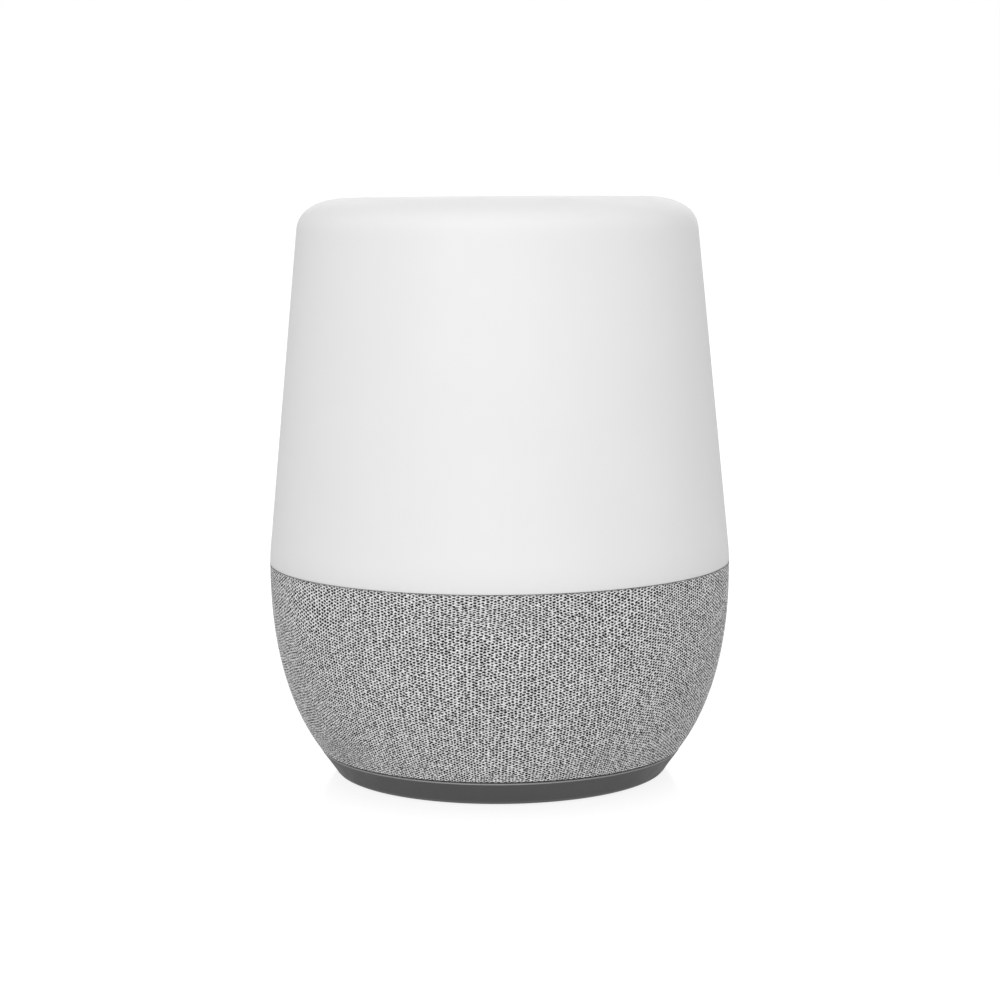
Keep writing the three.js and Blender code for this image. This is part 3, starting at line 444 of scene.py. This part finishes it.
def circuit(name):
    """Solder mask over fine copper tracks with plated holes."""
    g = Graph(name)
    tracks = g.cells(260.0, feature="DISTANCE_TO_EDGE", randomness=0.35)
    track = g.span(tracks, 0.06, 0.12, 1.0, 0.0)
    pads = g.span(g.cells(330.0, randomness=0.8), 0.14, 0.2, 1.0, 0.0)
    mask = g.mix(g.span(g.noise(120.0), 0.3, 0.7), (0.008, 0.060, 0.026), (0.012, 0.085, 0.036))
    tint = g.mix(track, mask, (0.022, 0.145, 0.062))
    tint = g.mix(pads, tint, (0.62, 0.60, 0.52))
    rough = g.span(pads, 0.0, 1.0, 0.38, 0.25)
    return g.finish(tint, rough, g.bump(g.math("ADD", track, pads), 0.00005, 0.5), Coat_Weight=0.2)


def woven(name, colour, pitch):
    """Resin-dipped woven cloth, as on a driver's spider."""
    g = Graph(name)
    axes = g.node("ShaderNodeSeparateXYZ", g.scaled(*[2 * math.pi / pitch] * 3))
    weave = g.math("MULTIPLY", g.math("SINE", axes.outputs[0]), g.math("SINE", axes.outputs[1]))
    tint = g.mix(g.span(weave, -0.6, 0.6), tuple(c * 0.55 for c in colour), colour)
    tint = g.mix(g.span(g.noise(300.0), 0.35, 0.7, 0.0, 0.35), tint, tuple(c * 0.7 for c in colour))
    return g.finish(tint, g.span(weave, -1.0, 1.0, 0.9, 0.7), g.bump(weave, 0.00008, 0.6))


def pulp(name):
    """Pressed paper pulp: short fibres under a thin lacquer."""
    g = Graph(name)
    fibres = g.noise(1.0, 5.0, 0.7, g.scaled(1500.0, 420.0, 900.0))
    tint = g.mix(g.span(fibres, 0.35, 0.7), (0.010, 0.010, 0.011), (0.035, 0.035, 0.037))
    return g.finish(tint, g.span(fibres, 0.3, 0.7, 0.75, 0.95), g.bump(fibres, 0.00008, 0.6))


MATERIALS = {
    "milky_shade": milky("opal_plastic"),
    "knit_fabric": knit("knit_cover"),
    "dark_plastic": moulded("dark_satin_plastic", grey(0.048), 0.40, 0.50, IOR=1.46),
    "inner_plastic": moulded("black_plastic", grey(0.024), 0.5, 0.65),
    "white_plastic": moulded("white_reflector_plastic", (0.80, 0.80, 0.78), 0.35, 0.5, mottle=0.03),
    "clear_plastic": moulded("frosted_light_guide", (0.78, 0.80, 0.82), 0.2, 0.35, mottle=0.03),
    "rubber": moulded("soft_rubber", grey(0.020), 0.75, 0.9, grain=1700.0, depth=0.00008, mottle=0.15),
    "paper_cone": pulp("paper_pulp"),
    "spider_cloth": woven("dipped_cloth", (0.52, 0.36, 0.14), 0.0008),
    "circuit_board": circuit("circuit_board"),
    "chip_black": moulded("moulded_epoxy", grey(0.018), 0.45, 0.6, grain=3600.0),
    "copper": brushed("enamelled_copper", (0.80, 0.38, 0.20), (300.0, 300.0, 9000.0), 0.25, 0.4),
    "steel": brushed("rolled_steel", (0.56, 0.56, 0.57)),
    "ferrite": moulded("ferrite", grey(0.045), 0.6, 0.8, grain=1400.0, depth=0.00006, mottle=0.2),
    "aluminium": brushed("extruded_aluminium", (0.78, 0.79, 0.80), (2400.0, 2400.0, 30.0), 0.3, 0.45),
    "cable_black": moulded("cable_jacket", grey(0.015), 0.4, 0.55, grain=2000.0),
}

FOOT_RING_PLASTIC = ring_plastic("foot_ring_plastic")

slot_of = {part["node"]: part["material_slot"] for part in frame["record"]["subparts"]}


def dress(obj, slot):
    obj.data.materials.clear()
    obj.data.materials.append(MATERIALS[slot])


def stand_for(obj, node, body, slot):
    """obj takes a CAD node's place on a body, with the material of a slot."""
    dress(obj, slot)
    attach(obj, body)
    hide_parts(node)


# ------------------------------------------------------------------ the shade
def shade_profile():
    cone_angle = math.atan(SHADE_SLOPE)
    radius, low_z = CONE_LOW
    foot_angle = math.asin(math.sin(cone_angle) - (low_z - SHADE_LOW_Z) / FOOT_ARC)
    a = np.linspace(foot_angle, cone_angle, 14)
    foot = np.column_stack([
        radius + FOOT_ARC * (np.cos(a) - math.cos(cone_angle)),
        low_z - FOOT_ARC * (math.sin(cone_angle) - np.sin(a)),
    ])
    high_radius = radius - SHADE_SLOPE * (CONE_HIGH_Z - low_z)
    t = np.linspace(0, 1, 40)[1:-1]
    cone = np.column_stack([radius + (high_radius - radius) * t, low_z + (CONE_HIGH_Z - low_z) * t])
    a = np.linspace(0, math.pi / 2, 64)
    up = CORNER_RISE * np.sin(a) ** (2 / CORNER_POWER)
    out = (high_radius - CORNER_CENTRE) * np.cos(a) ** (2 / CORNER_POWER)
    corner = np.column_stack([CORNER_CENTRE + out - SHADE_SLOPE * up, CONE_HIGH_Z + up])
    edge = corner[-1]
    r = np.linspace(edge[0], 0, 24)[1:]
    crown = np.column_stack([r, edge[1] + (TOP_Z - edge[1]) * (1 - (r / edge[0]) ** 2)])
    return np.vstack([foot, cone, corner, crown])


def make_shade():
    lip = SHADE_LIP
    outer = shade_profile()
    outer = outer[outer[:, 1] > SHADE_LOW_Z + lip]
    low = fillet((outer[0, 0] - lip, SHADE_LOW_Z + lip), lip, -90, 0)
    outer = np.vstack([low, outer])
    inner = (outer - normals(outer) * SHADE_WALL)[len(low):]
    inner = inner[inner[:, 1] > SHADE_LOW_Z + lip]
    inner[:, 0] = np.maximum(inner[:, 0], 0)
    inner[-1, 0] = 0
    low_in = fillet((inner[0, 0] + lip, SHADE_LOW_Z + lip), lip, -90, -180)[::-1]
    obj = lathe("shade_skin", np.vstack([outer, inner[::-1], low_in]), 256)
    sharp_edges(obj, 50)
    stand_for(obj, "diffuser_shade", "housing", "milky_shade")


# ------------------------------------------------------------------ the knit cover
def ripple(n, waves):
    """A smooth wave round the bowl, from pairs of how many times it repeats and how far it goes."""
    turn = np.arange(n) / n * 2 * math.pi
    return sum(reach * np.sin(count * turn + RNG.uniform(0, 2 * math.pi)) for count, reach in waves)


def make_knit():
    """Two points a column and two a row: a hole, its rim and the crossings of the yarn."""
    line = bowl_line()
    out = normals(line)
    s = along(line)
    s_low = np.interp(FABRIC_LOW_Z + EDGE_ROLL, line[:, 1], s)
    s_high = np.interp(FABRIC_HIGH_Z - EDGE_ROLL, line[:, 1], s)
    n = COLUMNS * 2
    m = int(round((s_high - s_low) / (ROW / 2))) + 1
    step = (s_high - s_low) / (m - 1)
    i, j = np.meshgrid(np.arange(n), np.arange(m))

    # The courses wander up and down as the cloth was pulled over the bowl, and lie straight at its edges.
    from_edge = np.minimum(np.arange(m), m - 1 - np.arange(m))[:, None]
    ends = np.clip(from_edge / 3, 0, 1)
    slack = np.clip(from_edge / SLACK_ROWS, 0, 1)
    slack = slack * slack * (3 - 2 * slack)
    wander = ripple(n, COURSE_WAVES)[None, :] * slack
    tilt = ripple(n, COLUMN_WAVES)[None, :] * (j / m - 0.5)
    slide = tilt + RNG.normal(0, JITTER, (m, n))
    lift = wander + RNG.normal(0, JITTER, (m, n)) * ends
    angle = 2 * math.pi * (i + slide) / n
    where = s_low + np.clip(j + lift, 0, m - 1) * step

    knot = np.cos(math.pi * i / 2) * np.cos(math.pi * j)
    deep = np.clip(RNG.normal(1.0, 0.25, (m, n)), 0.4, 1.6)
    depth = np.where(knot > 0.5, HOLE_DEPTH * deep, np.where(knot < -0.5, KNOT_DEPTH, RIM_DEPTH))
    depth = depth * (0.35 + 0.65 * ends)
    base = at(line, where.ravel())
    square = at(line, where.ravel(), out)
    skin = base - square * depth.ravel()[:, None]

    # The edges roll under, and a plain backing closes the sheet.
    top = base.reshape(m, n, 2)[-1].mean(axis=0)
    low = at(line, [s_low])[0]
    square_low = at(line, [s_low], out)[0]
    roll = EDGE_ROLL
    high_roll = fillet((top[0] - roll, FABRIC_HIGH_Z - roll), roll, 20, 180, 7)
    back_s = np.linspace(s_high, s_low, BACKING_POINTS + 2)[1:-1]
    back = at(line, back_s) - at(line, back_s, out) * 2 * roll
    turn = math.degrees(math.atan2(square_low[1], square_low[0]))
    low_roll = fillet(low - square_low * roll, roll, turn - 180, turn - 20, 7)
    plain = np.vstack([high_roll, back, low_roll])

    even = 2 * math.pi * np.arange(n) / n
    co = np.zeros(((m + len(plain)) * n, 3))
    r = skin[:, 0].reshape(m, n)
    co[: m * n, 0] = (r * np.cos(angle)).ravel()
    co[: m * n, 1] = (r * np.sin(angle)).ravel()
    co[: m * n, 2] = skin[:, 1]
    for k, (radius, z) in enumerate(plain):
        part = slice((m + k) * n, (m + k + 1) * n)
        co[part, 0] = radius * np.cos(even)
        co[part, 1] = radius * np.sin(even)
        co[part, 2] = z

    rows = m + len(plain)
    jj, ii = np.meshgrid(np.arange(rows), np.arange(n), indexing="ij")
    nj, ni = (jj + 1) % rows, (ii + 1) % n
    faces = np.stack([jj * n + ii, jj * n + ni, nj * n + ni, nj * n + ii], axis=-1).reshape(-1, 4)
    corners_x = np.stack([ii, ii + 1, ii + 1, ii], axis=-1).reshape(-1, 4) / 2
    corners_y = np.stack([jj, jj, jj + 1, jj + 1], axis=-1).reshape(-1, 4) / 2

    # The rear button comes through a round hole that its bezel covers.
    middle = co[faces].mean(axis=1)
    lean = button_lean()
    axis = np.array([0, math.cos(lean), -math.sin(lean)])
    centre = np.array([0, bowl_radius(BUTTON_Z), BUTTON_Z])
    from_axis = np.linalg.norm(np.cross(middle - centre, axis), axis=1)
    keep = (from_axis > BEZEL_RADIUS + BEZEL_OVERLAP) | (middle[:, 1] < 0)
    faces, corners_x, corners_y = faces[keep], corners_x[keep], corners_y[keep]

    used, faces = np.unique(faces, return_inverse=True)
    obj = fast_mesh("knit_cover", co[used] * MM, faces.reshape(-1, 4))
    layer = obj.data.uv_layers.new(name="knit")
    layer.data.foreach_set("uv", np.stack([corners_x, corners_y], axis=-1).ravel())
    stand_for(obj, "fabric_sleeve", "housing", "knit_fabric")


def fast_mesh(name, co, faces):
    """mesh_object() for many four-sided faces."""
    mesh = bpy.data.meshes.new(name)
    mesh.vertices.add(len(co))
    mesh.vertices.foreach_set("co", co.ravel())
    mesh.loops.add(faces.size)
    mesh.loops.foreach_set("vertex_index", faces.ravel().astype(np.int32))
    mesh.polygons.add(len(faces))
    mesh.polygons.foreach_set("loop_start", np.arange(0, faces.size, 4, dtype=np.int32))
    mesh.polygons.foreach_set("use_smooth", np.ones(len(faces), bool))
    mesh.update(calc_edges=True)
    obj = bpy.data.objects.new(name, mesh)
    bpy.context.scene.collection.objects.link(obj)
    return obj


# ------------------------------------------------------------------ the rear button
def button_lean():
    return math.atan(bowl_radius(BUTTON_Z + 0.5) - bowl_radius(BUTTON_Z - 0.5))


def on_rear(obj):
    """Stands a piece, made about the Z axis, square on the rear of the fabric."""
    place = Matrix.Translation((0, bowl_radius(BUTTON_Z) * MM, BUTTON_Z * MM))
    turn = Matrix.Rotation(-button_lean() - math.pi / 2, 4, "X")
    obj.data.transform(place @ turn)


def make_button():
    bore = BUTTON_RADIUS + BUTTON_PLAY
    inner, outer = BEZEL_INNER_EDGE, BEZEL_OUTER_EDGE
    bezel = lathe("bezel_ring", np.vstack([
        [(bore, BEZEL_BACK)], fillet((bore + inner, BEZEL_FACE - inner), inner, 180, 90, 5),
        fillet((BEZEL_FLANGE - outer, BEZEL_FACE - outer), outer, 90, 0, 6),
        [(BEZEL_FLANGE, BEZEL_SEAT), (BEZEL_RADIUS, BEZEL_SEAT), (BEZEL_RADIUS, BEZEL_BACK)],
    ]), 96)
    on_rear(bezel)
    sharp_edges(bezel)
    stand_for(bezel, "mute_bezel", "housing", "dark_plastic")

    reach, depth, middle = (BUTTON_DISH[key] for key in ("radius", "depth", "middle"))
    dish = [(r, middle + depth * (r / reach) ** 2) for r in np.linspace(0, reach, 8)]
    collar, back, front = (BUTTON_COLLAR[key] for key in ("radius", "back", "front"))
    edge = (BUTTON_RADIUS - BUTTON_EDGE, BUTTON_EDGE_CENTRE)
    button = lathe("mute_cap", np.vstack([
        [(0, back), (collar, back), (collar, front), (BUTTON_RADIUS, front)],
        fillet(edge, BUTTON_EDGE, 0, 78, 8), dish[::-1],
    ]), 96)
    on_rear(button)
    sharp_edges(button)
    stand_for(button, "mute_button", "mute", "dark_plastic")


# ------------------------------------------------------------------ the foot
def make_ring():
    """The foot ring: a flange that carries the screws, and a side that flares up to a chamfer."""
    flange = RING_FLANGE
    inner, low, high, seat = flange["inner"], flange["low"], flange["high"], flange["seat"]
    heel_r, heel_z = RING_HEEL[0]
    side = bezier(RING_CURVE, np.linspace(0, 1, 24))
    ring = lathe("foot_ring_skin", np.vstack([
        [(inner, low), (flange["outer"], low), (heel_r - 0.25, heel_z - 0.05)],
        fillet(*RING_HEEL, 200, 290, 4), [(heel_r + 0.45, heel_z)], side,
        fillet(*RING_CHAMFER, 10, 85, 8),
        [(flange["back"], RING_TOP_Z), (seat, high + 0.6), (seat, high), (inner, high)],
    ]), 256)
    heads = [rod_cutter(SCREW_CIRCLE * math.cos(a), SCREW_CIRCLE * math.sin(a), SCREW_HEAD_HOLE,
                        low - 1, high + 0.2) for a in np.radians(SCREW_ANGLES)]
    cut(ring, *heads, box_cutter(*RECESS_BOX), box_cutter(*NOTCH_BOX))
    sharp_edges(ring)
    stand_for(ring, "foot_ring", "housing", "dark_plastic")
    ring.data.materials[0] = FOOT_RING_PLASTIC


def make_pad():
    """The rubber ring that the speaker stands on, cut away where the plug's recess is."""
    edge = PAD_EDGE
    pad = lathe("grip_pad", np.vstack([
        [(PAD_INNER + 0.4, PAD_HEIGHT), (PAD_INNER, PAD_HEIGHT - 0.05)],
        fillet((PAD_INNER + edge, edge), edge, 180, 270, 5),
        fillet((PAD_OUTER - edge, edge), edge, 270, 360, 5), [(PAD_OUTER, PAD_HEIGHT)],
    ]), 192)
    cut(pad, box_cutter(*PAD_GAP_BOX))
    sharp_edges(pad)
    stand_for(pad, "rubber_foot", "housing", "rubber")


# ------------------------------------------------------------------ studio
def make_floor():
    """A plain white glossy table that glows a little, as a light table does."""
    g = Graph("table_white")
    nodes, links = g.tree.nodes, g.tree.links
    nodes.remove(g.shader)
    matt = nodes.new("ShaderNodeBsdfDiffuse")
    matt.inputs["Color"].default_value = (*grey(FLOOR_MATT), 1)
    glow = nodes.new("ShaderNodeEmission")
    seen = nodes.new("ShaderNodeLightPath").outputs["Is Camera Ray"]
    g.set(glow.inputs["Strength"], g.span(seen, 0.0, 1.0, FLOOR_FILL, FLOOR_GLOW, False))
    gloss = nodes.new("ShaderNodeBsdfGlossy")
    gloss.inputs["Roughness"].default_value = FLOOR_ROUGHNESS
    both = nodes.new("ShaderNodeAddShader")
    mix = nodes.new("ShaderNodeMixShader")
    reach = g.node("ShaderNodeVectorMath", g.scaled(1, 1, 0), operation="LENGTH").outputs["Value"]
    g.set(mix.inputs[0], g.span(reach, FLOOR_GLOSS_NEAR, FLOOR_GLOSS_FAR, FLOOR_GLOSS, 0.0))
    links.new(matt.outputs[0], both.inputs[0])
    links.new(glow.outputs[0], both.inputs[1])
    links.new(both.outputs[0], mix.inputs[1])
    links.new(gloss.outputs[0], mix.inputs[2])
    links.new(mix.outputs[0], g.out.inputs["Surface"])
    far = FLOOR_REACH
    floor = mesh_object("table", [(-far, -far, 0), (far, -far, 0), (far, far, 0), (-far, far, 0)],
                        [(0, 1, 2, 3)], smooth=False)
    floor.data.materials.append(g.material)


def make_world():
    """White to the eye, and a dimmer even fill for the object."""
    world = bpy.data.worlds.new("studio")
    bpy.context.scene.world = world
    world.use_nodes = True
    nodes, links = world.node_tree.nodes, world.node_tree.links
    nodes.clear()
    out = nodes.new("ShaderNodeOutputWorld")
    seen = nodes.new("ShaderNodeBackground")
    seen.inputs["Color"].default_value = (1, 1, 1, 1)
    seen.inputs["Strength"].default_value = 1.0
    fill = nodes.new("ShaderNodeBackground")
    fill.inputs["Color"].default_value = (1, 1, 1, 1)
    fill.inputs["Strength"].default_value = FILL
    mix = nodes.new("ShaderNodeMixShader")
    links.new(nodes.new("ShaderNodeLightPath").outputs["Is Camera Ray"], mix.inputs[0])
    links.new(fill.outputs[0], mix.inputs[1])
    links.new(seen.outputs[0], mix.inputs[2])
    links.new(mix.outputs[0], out.inputs[0])


def softbox(name, place, size, power, target=(0, 0, 0.075)):
    light = bpy.data.lights.new(name, "AREA")
    light.shape, light.size, light.energy = "SQUARE", size, power
    obj = bpy.data.objects.new(name, light)
    obj.location = place
    obj.rotation_euler = (Vector(target) - Vector(place)).to_track_quat("-Z", "Y").to_euler()
    bpy.context.scene.collection.objects.link(obj)


def make_camera():
    data = bpy.data.cameras.new("camera")
    data.lens, data.sensor_width = CAMERA_LENS, CAMERA_SENSOR
    data.clip_start, data.clip_end = 0.05, 100
    camera = bpy.data.objects.new("camera", data)
    bpy.context.scene.collection.objects.link(camera)
    pitch = Matrix.Rotation(math.radians(90 - CAMERA_PITCH), 4, "X")
    roll = Matrix.Rotation(math.radians(CAMERA_ROLL), 4, "Z")
    camera.matrix_world = Matrix.Translation(CAMERA_PLACE) @ pitch @ roll
    bpy.context.scene.camera = camera


make_camera()
make_shade()
make_knit()
make_button()
make_ring()
make_pad()
for name, node in frame["nodes"].items():
    dress(node, slot_of[name])
make_floor()
make_world()
softbox("front_light", (-0.12, -1.20, 0.56), 1.6, 12.0)
softbox("back_light", (0.15, 1.5, 0.8), 1.4, 4.0)
bpy.context.scene.view_settings.view_transform = "Standard"
bpy.context.scene.view_settings.look = "None"
